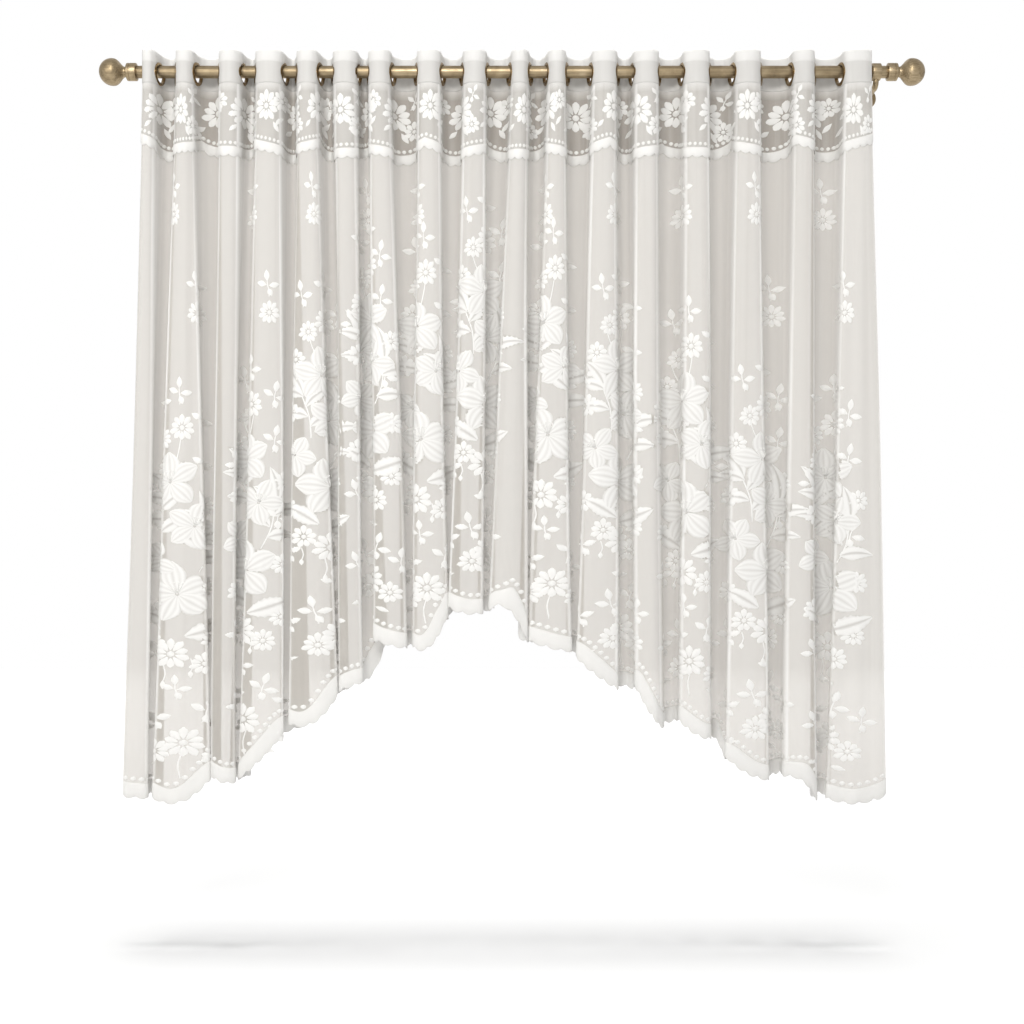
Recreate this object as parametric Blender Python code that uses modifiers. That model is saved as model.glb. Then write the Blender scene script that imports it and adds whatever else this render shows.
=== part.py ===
# Lace eyelet curtain with an arched, scalloped hem, on a curtain rod held by two wall brackets.
# Metres, +Z up, +X along the rod, the room side is -Y. The origin is on the wall, midway between the
# brackets, at the height of the rod's axis.

import math

import bmesh
import bpy
import numpy as np

MM = 0.001
GAP = 0.0003

# Rod, finials and brackets
ROD_RADIUS = 0.0125
ROD_HALF_LENGTH = 0.786
ROD_TO_WALL = 0.090
ROD_SIDES = 32
COLLAR_INNER_END = 0.769
COLLAR_LENGTH = 0.020
COLLAR_RADIUS = 0.018
COLLAR_CHAMFER = 0.0015
NECK_RADIUS = 0.0105
NECK_END = 0.024
BALL_CENTRE = 0.0505
BALL_RADIUS = 0.0275
BALL_HALF_LENGTH = 0.0265
BALL_STEPS = 4
TAPER_STEPS = 5
TAPER_POWER = 1.4
TURNED_STEPS = 18
BRACKET_X = 0.746
SADDLE_RADIUS = 0.0175
SADDLE_WIDTH = 0.018
SADDLE_BORE = 0.0129
ARM_RADIUS = 0.006
ARM_DROP = 0.030
ARM_BEND = 0.014
PLATE_RADIUS = 0.022
PLATE_THICKNESS = 0.006
SCREW_HOLE_RADIUS = 0.0025
SCREW_SPACING = 0.030
BRACKET_SIDES = 24
SCREW_HOLE_SIDES = 10

# Heading band and eyelets
HEADING_TOP = 0.037
HEADING_BOTTOM = -0.031
HEADING_THICKNESS = 0.0024
HEADING_DEPTH = 0.033
WALL_LEAN = 0.012
NARROWEST_BACK = 0.015
EYELET_DROP = 0.0045
EYELET_BORE = 0.01775
EYELET_GROOVE = 0.0187
EYELET_RIM = 0.0235
EYELET_HALF_WIDTH = 0.0037
EYELET_RIM_HALF_WIDTH = 0.0019
EYELET_SIDES = 12
HOLE_CUT_LENGTH = 0.010

# Lace panel and valance: two plies that leave the heading side by side
PLY_THICKNESS = 0.001
PLY_SHIFT = 0.0009
BACK_DEPTH = 0.027
VALANCE_CUSP = -0.148
VALANCE_LOBE = 0.024
VALANCE_BOW = 0.010
VALANCE_LOBES = 12
SCALLOP = 0.004
SWAY = 0.003
SWAY_STARTS = 0.12
SWAY_TURNS = 0.8
PANEL_DROPS = (0.32, 0.55, 0.78, 1.0)

# One row for each front fold, left to right, in millimetres: its edges at the heading, its edges and
# depth at the hem, the height of the hem at its left edge, middle and right edge, and the edges at the
# hem of the back fold that follows it. The last front fold has no back fold after it.
FOLD_COLUMNS = (
    "top_left", "top_right", "low_left", "low_right", "low_depth",
    "hem_left", "hem_mid", "hem_right", "back_left", "back_right",
)
FOLDS = (
    (-751, -729, -790, -743, 26, -1476, -1479, -1481, -752, -722),
    (-682, -652, -735, -619, 24, -1481, -1488, -1445, -632, -598),
    (-593, -558, -613, -566, 33, -1436, -1446, -1448, -580, -545),
    (-518, -473, -556, -465, 27, -1440, -1403, -1352, -474, -418),
    (-434, -400, -457, -359, 25, -1330, -1327, -1274, -372, -338),
    (-359, -321, -349, -305, 28, -1262, -1253, -1246, -310, -262),
    (-288, -252, -282, -217, 33, -1158, -1168, -1174, -222, -194),
    (-189, -150, -203, -134, 28, -1174, -1170, -1112, -142, -112),
    (-95, -57, -126, -59, 30, -1093, -1104, -1104, -68, -40),
    (2, 30, -49, 26, 34, -1096, -1093, -1150, 18, 46),
    (77, 106, 37, 118, 27, -1162, -1174, -1182, 112, 140),
    (168, 209, 134, 215, 26, -1196, -1230, -1257, 222, 247),
    (254, 294, 252, 302, 32, -1262, -1306, -1334, 312, 340),
    (355, 398, 347, 406, 27, -1328, -1350, -1360, 410, 434),
    (459, 503, 438, 520, 24, -1400, -1430, -1444, 526, 552),
    (577, 613, 558, 619, 32, -1436, -1444, -1478, 614, 650),
    (680, 731, 646, 765, 27, -1482, -1490, -1474, 0, 0),
)

# Where the columns of a fold stand: their share of the half width and their share of the depth. The
# cloth between two folds is the flat wall that carries an eyelet.
FRONT_PROFILE = ((-1.0, 0.73), (-0.6, 0.93), (0.0, 1.0), (0.6, 0.93), (1.0, 0.73))
BACK_PROFILE = ((-1.0, 0.73), (-0.45, 0.98), (0.45, 0.98), (1.0, 0.73))

COLOURS = {
    "lace": ((0.86, 0.85, 0.82), 0.85, 0.0),
    "heading": ((0.90, 0.89, 0.87), 0.8, 0.0),
    "brass": ((0.46, 0.36, 0.22), 0.38, 1.0),
    "eyelet": ((0.36, 0.27, 0.16), 0.35, 1.0),
}


def clear_scene():
    for item in list(bpy.data.objects):
        bpy.data.objects.remove(item, do_unlink=True)


def new_collection(name, hidden=False):
    collection = bpy.data.collections.new(name)
    bpy.context.scene.collection.children.link(collection)
    collection.hide_render = hidden
    return collection


def make_materials():
    made = {}
    for name, (colour, roughness, metallic) in COLOURS.items():
        material = bpy.data.materials.new(name)
        material.use_nodes = True
        shader = material.node_tree.nodes["Principled BSDF"]
        shader.inputs["Base Color"].default_value = (*colour, 1.0)
        shader.inputs["Roughness"].default_value = roughness
        shader.inputs["Metallic"].default_value = metallic
        made[name] = material
    return made


def add_object(name, mesh, collection, material=None):
    item = bpy.data.objects.new(name, mesh)
    collection.objects.link(item)
    if material:
        mesh.materials.clear()
        mesh.materials.append(material)
    return item


def mesh_from_bmesh(name, shape):
    mesh = bpy.data.meshes.new(name)
    shape.to_mesh(mesh)
    shape.free()
    return mesh


def hide_cutter(item):
    item.hide_render = True
    item.display_type = "WIRE"


def add_boolean(item, other, operation):
    modifier = item.modifiers.new(operation.lower(), "BOOLEAN")
    modifier.operation = operation
    modifier.object = other


def smooth_shading(mesh, degrees=40):
    mesh.shade_smooth()
    mesh.set_sharp_from_angle(angle=math.radians(degrees))


def cylinder_mesh(name, radius, length, sides):
    shape = bmesh.new()
    bmesh.ops.create_cone(
        shape, cap_ends=True, segments=sides, radius1=radius, radius2=radius, depth=length
    )
    return mesh_from_bmesh(name, shape)


def turned_object(name, profile, steps, collection, material, closed=False):
    """A profile of (radius, height) points, top to bottom on its outer side, turned about Z."""
    shape = bmesh.new()
    points = [shape.verts.new((radius, 0.0, height)) for radius, height in profile]
    for first, second in zip(points, points[1:]):
        shape.edges.new((first, second))
    if closed:
        shape.edges.new((points[-1], points[0]))
    item = add_object(name, mesh_from_bmesh(name, shape), collection, material)
    screw = item.modifiers.new("turn", "SCREW")
    screw.axis = "Z"
    screw.steps = steps
    screw.render_steps = steps
    screw.use_merge_vertices = True
    screw.merge_threshold = 0.00001
    screw.use_smooth_shade = True
    return item


def fold_table():
    return [dict(zip(FOLD_COLUMNS, (value * MM for value in row))) for row in FOLDS]


def hem_of_front(fold, share):
    """Height of the hem across a front fold, on the curve through its three heights."""
    rise = (fold["hem_right"] - fold["hem_left"]) / 2
    bow = (fold["hem_right"] + fold["hem_left"]) / 2 - fold["hem_mid"]
    return fold["hem_mid"] + rise * share + bow * share * share


def back_edges_at_heading(left_of_gap, right_of_gap):
    """The two edges of a back fold, set in from the front folds on either side of it."""
    gap = right_of_gap - left_of_gap
    lean = min(WALL_LEAN, (gap - NARROWEST_BACK) / 2)
    return left_of_gap + lean, right_of_gap - lean


def fold_columns():
    """Plan of every column at the heading and at the hem, the hem's height there and its fold."""
    folds = fold_table()
    top, low, hem, fold_index = [], [], [], []
    for index, fold in enumerate(folds):
        for share, depth in FRONT_PROFILE:
            for plan, left, right, full in (
                (top, fold["top_left"], fold["top_right"], HEADING_DEPTH),
                (low, fold["low_left"], fold["low_right"], fold["low_depth"]),
            ):
                x = (left + right) / 2 + share * (right - left) / 2
                plan.append((x, -ROD_TO_WALL - depth * full))
            hem.append(hem_of_front(fold, share))
            fold_index.append(index)
        if index == len(folds) - 1:
            break
        after = folds[index + 1]
        top_left, top_right = back_edges_at_heading(fold["top_right"], after["top_left"])
        for share, depth in BACK_PROFILE:
            for plan, left, right, full in (
                (top, top_left, top_right, HEADING_DEPTH),
                (low, fold["back_left"], fold["back_right"], BACK_DEPTH),
            ):
                x = (left + right) / 2 + share * (right - left) / 2
                plan.append((x, -ROD_TO_WALL + depth * full))
            part = ((share + 1) / 2) ** 2
            hem.append(fold["hem_right"] * (1 - part) + after["hem_left"] * part)
            fold_index.append(index + 0.5)
    return np.array(top), np.array(low), np.array(hem), np.array(fold_index)


TOP_PLAN, LOW_PLAN, HEM_HEIGHT, FOLD_INDEX = fold_columns()


def sway_at(drop):
    """How far each column swings sideways at its share of the drop, nothing behind the valance."""
    reach = np.clip((drop - SWAY_STARTS) / (1 - SWAY_STARTS), 0, 1)
    phase = FOLD_INDEX * 0.618
    return SWAY * reach * np.sin(2 * math.pi * (SWAY_TURNS * drop + phase))


def plan_at(drop):
    """Plan of the columns at these shares of their drop from the heading to the hem."""
    drop = np.broadcast_to(drop, HEM_HEIGHT.shape)
    plan = TOP_PLAN + (LOW_PLAN - TOP_PLAN) * drop[:, None]
    plan[:, 0] += sway_at(drop)
    return plan


def shifted_to_front(plan, distance):
    """The plan moved square to the cloth, towards the room for a positive distance."""
    along = np.diff(plan, axis=0)
    along /= np.linalg.norm(along, axis=1)[:, None]
    normal = np.stack([along[:, 1], -along[:, 0]], axis=1)
    before = np.vstack([normal[:1], normal])
    after = np.vstack([normal, normal[-1:]])
    mitre = (before + after) / (1 + (before * after).sum(axis=1))[:, None]
    return plan + distance * mitre


def row_at_height(height, shift):
    """One row of points at this height, which may differ from column to column."""
    drop = (HEADING_BOTTOM - height) / (HEADING_BOTTOM - HEM_HEIGHT)
    plan = shifted_to_front(plan_at(drop), shift)
    return np.column_stack([plan, np.broadcast_to(height, HEM_HEIGHT.shape)])


def row_at_drop(drop, shift):
    """One row of points at this share of the drop from the heading to the hem."""
    return row_at_height(HEADING_BOTTOM + (HEM_HEIGHT - HEADING_BOTTOM) * drop, shift)


def sheet_mesh(name, rows, scalloped):
    """A sheet through these rows, top to bottom, with a small scallop below each pair of columns."""
    shape = bmesh.new()
    grid = [[shape.verts.new(point) for point in row] for row in rows]
    tips = []
    if scalloped:
        for first, second in zip(rows[-1], rows[-1][1:]):
            tips.append(shape.verts.new((first + second) / 2 - np.array([0, 0, SCALLOP])))
    for upper, lower in zip(grid, grid[1:]):
        for column in range(len(upper) - 1):
            shape.faces.new((upper[column], lower[column], lower[column + 1]))
            shape.faces.new((upper[column], lower[column + 1], upper[column + 1]))
    for column, tip in enumerate(tips):
        shape.faces.new((grid[-1][column], tip, grid[-1][column + 1]))
    mesh = mesh_from_bmesh(name, shape)
    mesh.shade_smooth()
    return mesh


def add_sheet(name, rows, thickness, collection, material, scalloped=False):
    item = add_object(name, sheet_mesh(name, rows, scalloped), collection, material)
    solidify = item.modifiers.new("thickness", "SOLIDIFY")
    solidify.thickness = thickness
    solidify.offset = 0.0
    solidify.use_even_offset = True
    return item


def eyelet_places():
    """Centre and turn of each eyelet: the middle of every flat wall between two folds."""
    places = []
    for column in range(len(FOLD_INDEX) - 1):
        if FOLD_INDEX[column] != FOLD_INDEX[column + 1]:
            start, end = TOP_PLAN[column], TOP_PLAN[column + 1]
            middle = (start + end) / 2
            across = end - start
            turn = math.atan2(-across[0], across[1])
            places.append(((middle[0], middle[1], -EYELET_DROP), turn))
    return places


def place_across_rod(item, centre, turn):
    item.location = centre
    item.rotation_euler = (0.0, math.pi / 2, turn)


def add_eyelets(places, collection, material):
    profile = (
        (EYELET_BORE, EYELET_HALF_WIDTH),
        (EYELET_RIM, EYELET_RIM_HALF_WIDTH),
        (EYELET_GROOVE, HEADING_THICKNESS / 2 + GAP),
        (EYELET_GROOVE, -HEADING_THICKNESS / 2 - GAP),
        (EYELET_RIM, -EYELET_RIM_HALF_WIDTH),
        (EYELET_BORE, -EYELET_HALF_WIDTH),
    )
    for number, (centre, turn) in enumerate(places, 1):
        ring = turned_object(
            f"eyelet_{number:02d}", profile, EYELET_SIDES, collection, material, closed=True
        )
        place_across_rod(ring, centre, turn)


def add_eyelet_cutters(places, collection):
    corner = math.cos(math.pi / EYELET_SIDES)
    mesh = cylinder_mesh("eyelet_hole", EYELET_GROOVE + GAP / corner, HOLE_CUT_LENGTH, EYELET_SIDES)
    for number, (centre, turn) in enumerate(places, 1):
        cutter = add_object(f"eyelet_hole_{number:02d}", mesh, collection)
        place_across_rod(cutter, centre, turn)
        hide_cutter(cutter)


def add_heading(collection, cutters, materials):
    """The doubled band that the eyelets are set in."""
    plan = plan_at(0.0)
    rows = [
        np.column_stack([plan, np.full(len(plan), height)])
        for height in (HEADING_TOP, HEADING_BOTTOM)
    ]
    heading = add_sheet("heading", rows, HEADING_THICKNESS, collection, materials["heading"])
    places = eyelet_places()
    add_eyelet_cutters(places, cutters)
    holes = heading.modifiers.new("eyelet holes", "BOOLEAN")
    holes.operation = "DIFFERENCE"
    holes.operand_type = "COLLECTION"
    holes.collection = cutters
    add_eyelets(places, collection, materials["eyelet"])


def valance_edge():
    """Height of the valance's edge at each column: round lobes of equal length along the cloth,
    a little longer towards the middle of the curtain."""
    steps = np.linalg.norm(np.diff(TOP_PLAN, axis=0), axis=1)
    along = np.concatenate([[0.0], np.cumsum(steps)]) / steps.sum()
    lobe = np.abs(np.sin(math.pi * VALANCE_LOBES * along)) ** 0.8
    return VALANCE_CUSP - VALANCE_LOBE * lobe - VALANCE_BOW * np.sin(math.pi * along)


def valance_rows(shift):
    """Rows of points that the two plies share, so that they lie side by side all over."""
    middle = (HEADING_BOTTOM + VALANCE_CUSP) / 2
    return [row_at_height(height, shift) for height in (HEADING_BOTTOM - GAP, middle, valance_edge())]


def add_valance(collection, materials):
    """The short lace flounce in front of the panel."""
    rows = valance_rows(PLY_SHIFT)
    add_sheet("lace_valance", rows, PLY_THICKNESS, collection, materials["lace"], scalloped=True)


def add_panel(collection, materials):
    """The long lace panel, arched at the hem, behind the valance."""
    rows = valance_rows(-PLY_SHIFT) + [row_at_drop(drop, -PLY_SHIFT) for drop in PANEL_DROPS]
    add_sheet("lace_panel", rows, PLY_THICKNESS, collection, materials["lace"], scalloped=True)


def add_rod(collection, material):
    mesh = cylinder_mesh("rod", ROD_RADIUS, 2 * ROD_HALF_LENGTH, ROD_SIDES)
    smooth_shading(mesh)
    rod = add_object("rod", mesh, collection, material)
    rod.location = (0.0, -ROD_TO_WALL, 0.0)
    rod.rotation_euler = (0.0, math.pi / 2, 0.0)


def finial_profile():
    """A ball that tapers to its neck like a pear, and a collar with a socket for the end of the rod."""
    points = []
    for step in range(BALL_STEPS + 1):
        angle = math.pi / 2 * (1 - step / BALL_STEPS)
        radius = BALL_RADIUS * math.cos(angle) if step else 0.0
        points.append((radius, BALL_CENTRE + BALL_HALF_LENGTH * math.sin(angle)))
    for step in range(1, TAPER_STEPS + 1):
        share = step / TAPER_STEPS
        swell = (1 + math.cos(math.pi * share**TAPER_POWER)) / 2
        points.append((
            NECK_RADIUS + (BALL_RADIUS - NECK_RADIUS) * swell,
            BALL_CENTRE + (NECK_END - BALL_CENTRE) * share,
        ))
    socket_radius = ROD_RADIUS + GAP
    socket_end = ROD_HALF_LENGTH + GAP - COLLAR_INNER_END
    points += [
        (NECK_RADIUS, COLLAR_LENGTH),
        (COLLAR_RADIUS - COLLAR_CHAMFER, COLLAR_LENGTH),
        (COLLAR_RADIUS, COLLAR_LENGTH - COLLAR_CHAMFER),
        (COLLAR_RADIUS, COLLAR_CHAMFER),
        (COLLAR_RADIUS - COLLAR_CHAMFER, 0.0),
        (socket_radius, 0.0),
        (socket_radius, socket_end),
        (0.0, socket_end),
    ]
    return points


def add_finials(collection, material):
    profile = finial_profile()
    for name, side in (("finial_left", -1), ("finial_right", 1)):
        finial = turned_object(name, profile, TURNED_STEPS, collection, material)
        finial.location = (side * COLLAR_INNER_END, -ROD_TO_WALL, 0.0)
        finial.rotation_euler = (0.0, side * math.pi / 2, 0.0)


def arm_route():
    """Down from the saddle, round a bend, and back to the wall plate."""
    start = -(SADDLE_RADIUS + ROD_RADIUS) / 2
    points = [(-ROD_TO_WALL, start)]
    for step in range(5):
        angle = step * math.pi / 8
        points.append((
            -ROD_TO_WALL + ARM_BEND * (1 - math.cos(angle)),
            -ARM_DROP + ARM_BEND * (1 - math.sin(angle)),
        ))
    points.append((-PLATE_THICKNESS / 2, -ARM_DROP))
    return points


def arm_mesh(x):
    """The round arm as a closed mesh, from a curve."""
    curve = bpy.data.curves.new("arm", "CURVE")
    curve.dimensions = "3D"
    curve.bevel_depth = ARM_RADIUS
    curve.bevel_resolution = 1
    curve.use_fill_caps = True
    route = arm_route()
    spline = curve.splines.new("POLY")
    spline.points.add(len(route) - 1)
    for point, (y, z) in zip(spline.points, route):
        point.co = (x, y, z, 1.0)
    guide = bpy.data.objects.new("arm_guide", curve)
    bpy.context.scene.collection.objects.link(guide)
    bpy.context.view_layer.update()
    mesh = bpy.data.meshes.new_from_object(guide.evaluated_get(bpy.context.evaluated_depsgraph_get()))
    bpy.data.objects.remove(guide)
    shape = bmesh.new()
    shape.from_mesh(mesh)
    bmesh.ops.remove_doubles(shape, verts=shape.verts, dist=0.00001)
    bmesh.ops.recalc_face_normals(shape, faces=shape.faces)
    shape.to_mesh(mesh)
    shape.free()
    return mesh


def add_bracket(name, x, collection, cutters, material):
    """Wall plate, arm and the saddle that rings the rod, in one piece."""
    plate_mesh = cylinder_mesh(name, PLATE_RADIUS, PLATE_THICKNESS, BRACKET_SIDES)
    smooth_shading(plate_mesh)
    bracket = add_object(name, plate_mesh, collection, material)
    bracket.location = (x, -PLATE_THICKNESS / 2, -ARM_DROP)
    bracket.rotation_euler = (math.pi / 2, 0.0, 0.0)
    arm = add_object(f"{name}_arm", arm_mesh(x), cutters)
    saddle_mesh = cylinder_mesh("saddle", SADDLE_RADIUS, SADDLE_WIDTH, BRACKET_SIDES)
    bore_mesh = cylinder_mesh("bore", SADDLE_BORE, 2 * SADDLE_WIDTH, BRACKET_SIDES)
    saddle = add_object(f"{name}_saddle", saddle_mesh, cutters)
    bore = add_object(f"{name}_bore", bore_mesh, cutters)
    for item in (saddle, bore):
        item.location = (x, -ROD_TO_WALL, 0.0)
        item.rotation_euler = (0.0, math.pi / 2, 0.0)
    holes = []
    for side in (-1, 1):
        mesh = cylinder_mesh("screw_hole", SCREW_HOLE_RADIUS, 4 * PLATE_THICKNESS, SCREW_HOLE_SIDES)
        hole = add_object(f"{name}_screw_hole", mesh, cutters)
        hole.location = (x, -PLATE_THICKNESS / 2, -ARM_DROP + side * SCREW_SPACING / 2)
        hole.rotation_euler = (math.pi / 2, 0.0, 0.0)
        holes.append(hole)
    add_boolean(bracket, arm, "UNION")
    add_boolean(bracket, saddle, "UNION")
    for cutter in (bore, *holes):
        add_boolean(bracket, cutter, "DIFFERENCE")
    for item in (arm, saddle, bore, *holes):
        hide_cutter(item)


def main():
    clear_scene()
    parts = new_collection("lace_curtain")
    eyelet_cutters = new_collection("eyelet_cutters", hidden=True)
    bracket_cutters = new_collection("bracket_cutters", hidden=True)
    materials = make_materials()
    add_rod(parts, materials["brass"])
    add_finials(parts, materials["brass"])
    add_bracket("bracket_left", -BRACKET_X, parts, bracket_cutters, materials["brass"])
    add_bracket("bracket_right", BRACKET_X, parts, bracket_cutters, materials["brass"])
    add_heading(parts, eyelet_cutters, materials)
    add_panel(parts, materials)
    add_valance(parts, materials)


main()
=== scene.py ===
import math

import bpy
import numpy as np
from mathutils import Euler, Matrix, Vector


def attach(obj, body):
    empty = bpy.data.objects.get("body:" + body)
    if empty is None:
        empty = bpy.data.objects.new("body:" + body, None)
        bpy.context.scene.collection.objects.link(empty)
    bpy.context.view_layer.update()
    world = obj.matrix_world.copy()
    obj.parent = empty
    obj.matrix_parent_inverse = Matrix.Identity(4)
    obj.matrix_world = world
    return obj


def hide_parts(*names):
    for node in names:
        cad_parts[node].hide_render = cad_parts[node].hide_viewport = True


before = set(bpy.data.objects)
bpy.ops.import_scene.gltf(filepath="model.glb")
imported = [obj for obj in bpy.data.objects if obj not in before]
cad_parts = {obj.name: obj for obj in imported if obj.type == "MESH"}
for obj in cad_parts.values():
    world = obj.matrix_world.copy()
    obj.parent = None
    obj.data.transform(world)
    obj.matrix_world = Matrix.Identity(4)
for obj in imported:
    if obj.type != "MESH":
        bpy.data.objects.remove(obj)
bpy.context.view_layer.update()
print("frame loaded")

# cloth shape
cloth = {
    "rodToWall": 0.090,
    "headingTop": 0.037,
    "headingBottom": -0.031,
    "headingThickness": 0.0022,
    "headingDepth": 0.033,
    "wallLean": 0.012,
    "narrowestBack": 0.015,
    "backDepth": 0.027,
    "plyShift": 0.0009,
    "sway": 0.003,
    "swayStarts": 0.12,
    "swayTurns": 0.8,
    "flatWidth": 3.07,
    "fineColumns": 1200,
    "netGap": 0.0003,
    "netInset": 0.0006,
    "scallopWidth": 0.0225,
    "ripple": 0.0014,
    "ripple": 0.0014,
    "rippleWidth": 0.058,
    "rippleFull": 0.35,
}

# one row per front fold, left to right, in millimetres, as in the CAD source
foldNames = ("topLeft", "topRight", "lowLeft", "lowRight", "lowDepth",
             "hemLeft", "hemMid", "hemRight", "backLeft", "backRight")
foldRows = (
    (-751, -729, -790, -743, 26, -1476, -1479, -1481, -752, -722),
    (-682, -652, -735, -619, 24, -1481, -1488, -1445, -632, -598),
    (-593, -558, -613, -566, 33, -1436, -1446, -1448, -580, -545),
    (-518, -473, -556, -465, 27, -1440, -1403, -1352, -474, -418),
    (-434, -400, -457, -359, 25, -1330, -1327, -1274, -372, -338),
    (-359, -321, -349, -305, 28, -1262, -1253, -1246, -310, -262),
    (-288, -252, -282, -217, 33, -1158, -1168, -1174, -222, -194),
    (-189, -150, -203, -134, 28, -1174, -1170, -1112, -142, -112),
    (-95, -57, -126, -59, 30, -1093, -1104, -1104, -68, -40),
    (2, 30, -49, 26, 34, -1096, -1093, -1150, 18, 46),
    (77, 106, 37, 118, 27, -1162, -1174, -1182, 112, 140),
    (168, 209, 134, 215, 26, -1196, -1230, -1257, 222, 247),
    (254, 294, 252, 302, 32, -1262, -1306, -1334, 312, 340),
    (355, 398, 347, 406, 27, -1328, -1350, -1360, 410, 434),
    (459, 503, 438, 520, 24, -1400, -1430, -1444, 526, 552),
    (577, 613, 558, 619, 32, -1436, -1444, -1478, 614, 650),
    (680, 731, 646, 765, 27, -1482, -1490, -1474, 0, 0),
)
frontProfile = ((-1.0, 0.73), (-0.6, 0.93), (0.0, 1.0), (0.6, 0.93), (1.0, 0.73))
backProfile = ((-1.0, 0.73), (-0.45, 0.98), (0.45, 0.98), (1.0, 0.73))


# across runs from -1 at the left edge to 1 at the right edge
def between(left, right, across):
    return (left + right) / 2 + across * (right - left) / 2


def coarseColumns():
    folds = [dict(zip(foldNames, (value / 1000 for value in row))) for row in foldRows]
    middle = -cloth["rodToWall"]
    top, low, hem, order = [], [], [], []
    for index, fold in enumerate(folds):
        rise = (fold["hemRight"] - fold["hemLeft"]) / 2
        bow = (fold["hemRight"] + fold["hemLeft"]) / 2 - fold["hemMid"]
        for across, depth in frontProfile:
            front = middle - depth * cloth["headingDepth"]
            top.append((between(fold["topLeft"], fold["topRight"], across), front))
            front = middle - depth * fold["lowDepth"]
            low.append((between(fold["lowLeft"], fold["lowRight"], across), front))
            hem.append(fold["hemMid"] + rise * across + bow * across * across)
            order.append(index)
        if index == len(folds) - 1:
            break
        after = folds[index + 1]
        lean = min(cloth["wallLean"], (after["topLeft"] - fold["topRight"] - cloth["narrowestBack"]) / 2)
        left, right = fold["topRight"] + lean, after["topLeft"] - lean
        for across, depth in backProfile:
            back = middle + depth * cloth["backDepth"]
            top.append((between(left, right, across), middle + depth * cloth["headingDepth"]))
            low.append((between(fold["backLeft"], fold["backRight"], across), back))
            part = ((across + 1) / 2) ** 2
            hem.append(fold["hemRight"] * (1 - part) + after["hemLeft"] * part)
            order.append(index + 0.5)
    return np.array(top), np.array(low), np.array(hem), np.array(order)


def runFrom(steps):
    return np.concatenate([[0.0], np.cumsum(steps)])


def stepLengths(points):
    return np.linalg.norm(np.diff(points, axis=0), axis=1)


# each value becomes the mean of those that are up to reach places from it
def evenedOut(values, reach):
    count = 2 * reach + 1
    return np.convolve(np.pad(values, reach, mode="edge"), np.ones(count) / count, mode="valid")


topColumns, lowColumns, hemColumns, columnOrder = coarseColumns()
topRun, lowRun = runFrom(stepLengths(topColumns)), runFrom(stepLengths(lowColumns))
columnShare = (topRun + lowRun) / (topRun[-1] + lowRun[-1])


# a smooth curve through the columns, with no overshoot where they stand unevenly
def smoothAlong(values, share):
    step = np.diff(columnShare)
    slope = np.diff(values) / step
    tangent = np.empty(len(values))
    tangent[1:-1] = (slope[:-1] * step[1:] + slope[1:] * step[:-1]) / (step[1:] + step[:-1])
    tangent[0], tangent[-1] = slope[0], slope[-1]
    cell = np.clip(np.searchsorted(columnShare, share, side="right") - 1, 0, len(step) - 1)
    t = (share - columnShare[cell]) / step[cell]
    h = step[cell]
    return ((2 * t**3 - 3 * t**2 + 1) * values[cell] + (t**3 - 2 * t**2 + t) * h * tangent[cell]
            + (3 * t**2 - 2 * t**3) * values[cell + 1] + (t**3 - t**2) * h * tangent[cell + 1])


fineShare = np.linspace(0, 1, cloth["fineColumns"] + 1)
fineTop = [smoothAlong(topColumns[:, axis], fineShare) for axis in (0, 1)]
fineLow = [smoothAlong(lowColumns[:, axis], fineShare) for axis in (0, 1)]
fineHem = smoothAlong(hemColumns, fineShare)
fineOrder = smoothAlong(columnOrder, fineShare)


def hemAt(share):
    return np.interp(share, fineShare, fineHem)


def dropAt(share, height):
    return np.clip((cloth["headingBottom"] - height) / (cloth["headingBottom"] - hemAt(share)), 0, 1.02)


def planAt(share, drop):
    plan = []
    for top, low in zip(fineTop, fineLow):
        start, end = np.interp(share, fineShare, top), np.interp(share, fineShare, low)
        plan.append(start + (end - start) * drop)
    reach = np.clip((drop - cloth["swayStarts"]) / (1 - cloth["swayStarts"]), 0, 1)
    phase = np.interp(share, fineShare, fineOrder) * 0.618
    plan[0] = plan[0] + cloth["sway"] * reach * np.sin(2 * math.pi * (cloth["swayTurns"] * drop + phase))
    return np.stack(plan, axis=-1)


# points on the hanging cloth: share of its width, height, and lift off it towards the room
def clothPoints(share, height, lift):
    share, height, lift = np.broadcast_arrays(share, height, lift)
    drop = dropAt(share, height)
    near = 0.5 / len(fineShare)
    along = planAt(np.clip(share + near, 0, 1), drop) - planAt(np.clip(share - near, 0, 1), drop)
    along /= np.linalg.norm(along, axis=-1)[..., None]
    normal = np.stack([along[..., 1], -along[..., 0]], axis=-1)
    turns = 2 * math.pi * share * cloth["flatWidth"] / cloth["rippleWidth"]
    reach = np.clip(drop / cloth["rippleFull"], 0, 1)
    ripple = cloth["ripple"] * reach * np.sin(turns + 2.2 * np.sin(turns * 0.23) + 1.1 * drop)
    plan = planAt(share, drop) + normal * (lift + ripple)[..., None]
    return np.concatenate([plan, height[..., None]], axis=-1)


# shared helpers
def deselectAll():
    for item in list(bpy.context.selected_objects):
        item.select_set(False)


def useOnly(item):
    deselectAll()
    item.select_set(True)
    bpy.context.view_layer.objects.active = item


def smoothByAngle(item, degrees=32):
    useOnly(item)
    bpy.ops.object.shade_smooth_by_angle(angle=math.radians(degrees))


def addItem(name, data):
    item = bpy.data.objects.new(name, data)
    bpy.context.scene.collection.objects.link(item)
    return item


def linkMesh(name, mesh, material):
    mesh.materials.clear()
    mesh.materials.append(material)
    return addItem(name, mesh)


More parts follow.
